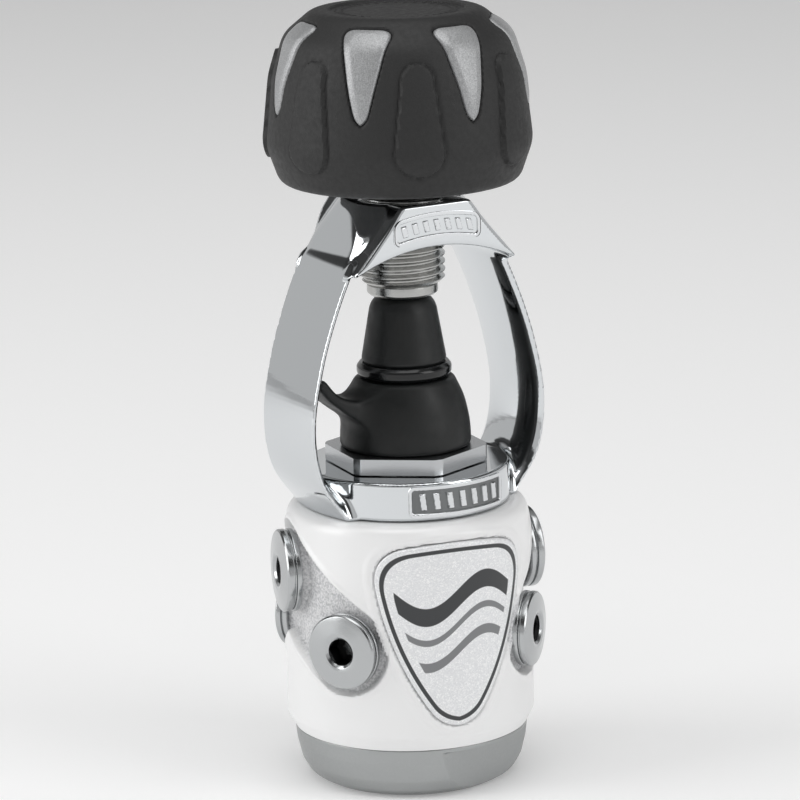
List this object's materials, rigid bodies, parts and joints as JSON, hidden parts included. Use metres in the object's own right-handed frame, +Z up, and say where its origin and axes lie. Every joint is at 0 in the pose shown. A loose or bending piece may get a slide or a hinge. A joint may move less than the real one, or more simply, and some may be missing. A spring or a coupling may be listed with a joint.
{
  "type": "scuba regulator first stage",
  "caption": "Balanced diaphragm regulator first stage with a chrome yoke, rubber hand knob and dust cap, white ported body and satin spring housing.",
  "frame": {"origin": "centre of the flat base of the spring housing, on the common axis of body, screw and knob", "axes": "+Z up along the screw towards the knob; the yoke legs lie at -X and +X, its window opens along Y"},
  "size_m": [0.0524, 0.05, 0.1448],
  "materials": {
    "body_white": "satin pearl white coat on turned brass, very fine turning lines",
    "badge_white": "white with a fine sparkle and a dark border line",
    "satin_chrome": "blasted satin chrome plate",
    "polished_chrome": "bright polished chrome plate over forged brass",
    "ground_chrome": "bright chrome with fine machining texture",
    "plug_chrome": "turned satin chrome",
    "cap_rubber": "matte black moulded rubber",
    "gloss_rubber": "glossy black rubber",
    "grip_rubber": "matte black rubber with fine grain",
    "silver_plastic": "silver plastic with a moulded grain",
    "screw_steel": "turned stainless steel",
    "spring_steel": "drawn spring wire",
    "machined_brass": "machined brass",
    "sintered_bronze": "sintered bronze, granular",
    "seal_rubber": "moulded nitrile rubber",
    "white_plastic": "natural acetal"
  },
  "bodies": {
    "main": {"badge_plate": "badge_white", "balance_plug": "machined_brass", "diaphragm": "seal_rubber", "diaphragm_washer": "white_plastic", "filter_clip": "spring_steel", "hose_plug_front_left": "plug_chrome", "hose_plug_front_right": "plug_chrome", "hose_plug_oring_front_left": "seal_rubber", "hose_plug_oring_front_right": "seal_rubber", "hose_plug_oring_rear_left": "seal_rubber", "hose_plug_oring_rear_right": "seal_rubber", "hose_plug_rear_left": "plug_chrome", "hose_plug_rear_right": "plug_chrome", "inlet_filter": "sintered_bronze", "main_body": "body_white", "main_spring": "spring_steel", "orifice_crown": "screw_steel", "orifice_oring": "seal_rubber", "poppet_oring": "seal_rubber", "poppet_spring": "spring_steel", "retainer_oring": "seal_rubber", "spring_housing": "satin_chrome", "supply_plug_left": "plug_chrome", "supply_plug_oring_left": "seal_rubber", "supply_plug_oring_right": "seal_rubber", "supply_plug_right": "plug_chrome", "yoke_retainer": "ground_chrome"},
    "yoke_body": {"yoke": "polished_chrome"},
    "pad_body": {"screw_pad": "screw_steel"},
    "knob_body": {"yoke_screw": "screw_steel", "knob_core": "silver_plastic", "knob_grip": "grip_rubber", "knob_pin": "screw_steel"},
    "cap_body": {"dust_cap": "cap_rubber", "dust_cap_ring": "gloss_rubber"},
    "valve_body": {"spring_carrier": "machined_brass", "valve_lifter": "machined_brass", "main_poppet": "machined_brass", "poppet_seat": "white_plastic"},
    "washer_body": {"thrust_washer": "white_plastic"},
    "adjuster_body": {"adjusting_screw": "machined_brass"}
  },
  "joints": [
    {"name": "yoke_swivel", "type": "hinge", "parent": "main", "child": "yoke_body", "pos_m": [0, 0, 0.0565], "axis": [0, 0, 1], "continuous": true},
    {"name": "screw_advance", "type": "slide", "parent": "yoke_body", "child": "pad_body", "axis": [0, 0, 1], "range_m": [0, 0.012]},
    {"name": "knob_turn", "type": "hinge", "parent": "pad_body", "child": "knob_body", "pos_m": [0, 0, 0.1], "axis": [0, 0, 1], "range_deg": [0, 2880]},
    {"name": "dust_cap_lift", "type": "slide", "parent": "main", "child": "cap_body", "axis": [0, 0, 1], "range_m": [0, 0.0034]},
    {"name": "valve_travel", "type": "slide", "parent": "main", "child": "valve_body", "axis": [0, 0, -1], "range_m": [0, 0.00075], "stiffness_N_per_m": 2000, "springref_m": -0.004, "deforming": ["main_spring", "poppet_spring", "diaphragm"]},
    {"name": "adjuster_advance", "type": "slide", "parent": "main", "child": "washer_body", "axis": [0, 0, 1], "range_m": [0, 0.002]},
    {"name": "adjuster_turn", "type": "hinge", "parent": "washer_body", "child": "adjuster_body", "pos_m": [0, 0, 0.004], "axis": [0, 0, 1], "range_deg": [0, 720]}
  ],
  "couplings": [
    {"joint": "knob_turn", "follows": "screw_advance", "rad_per_m": 4188.8},
    {"joint": "dust_cap_lift", "follows": "screw_advance", "ratio": 0.28},
    {"joint": "adjuster_turn", "follows": "adjuster_advance", "rad_per_m": 6283.2}
  ]
}
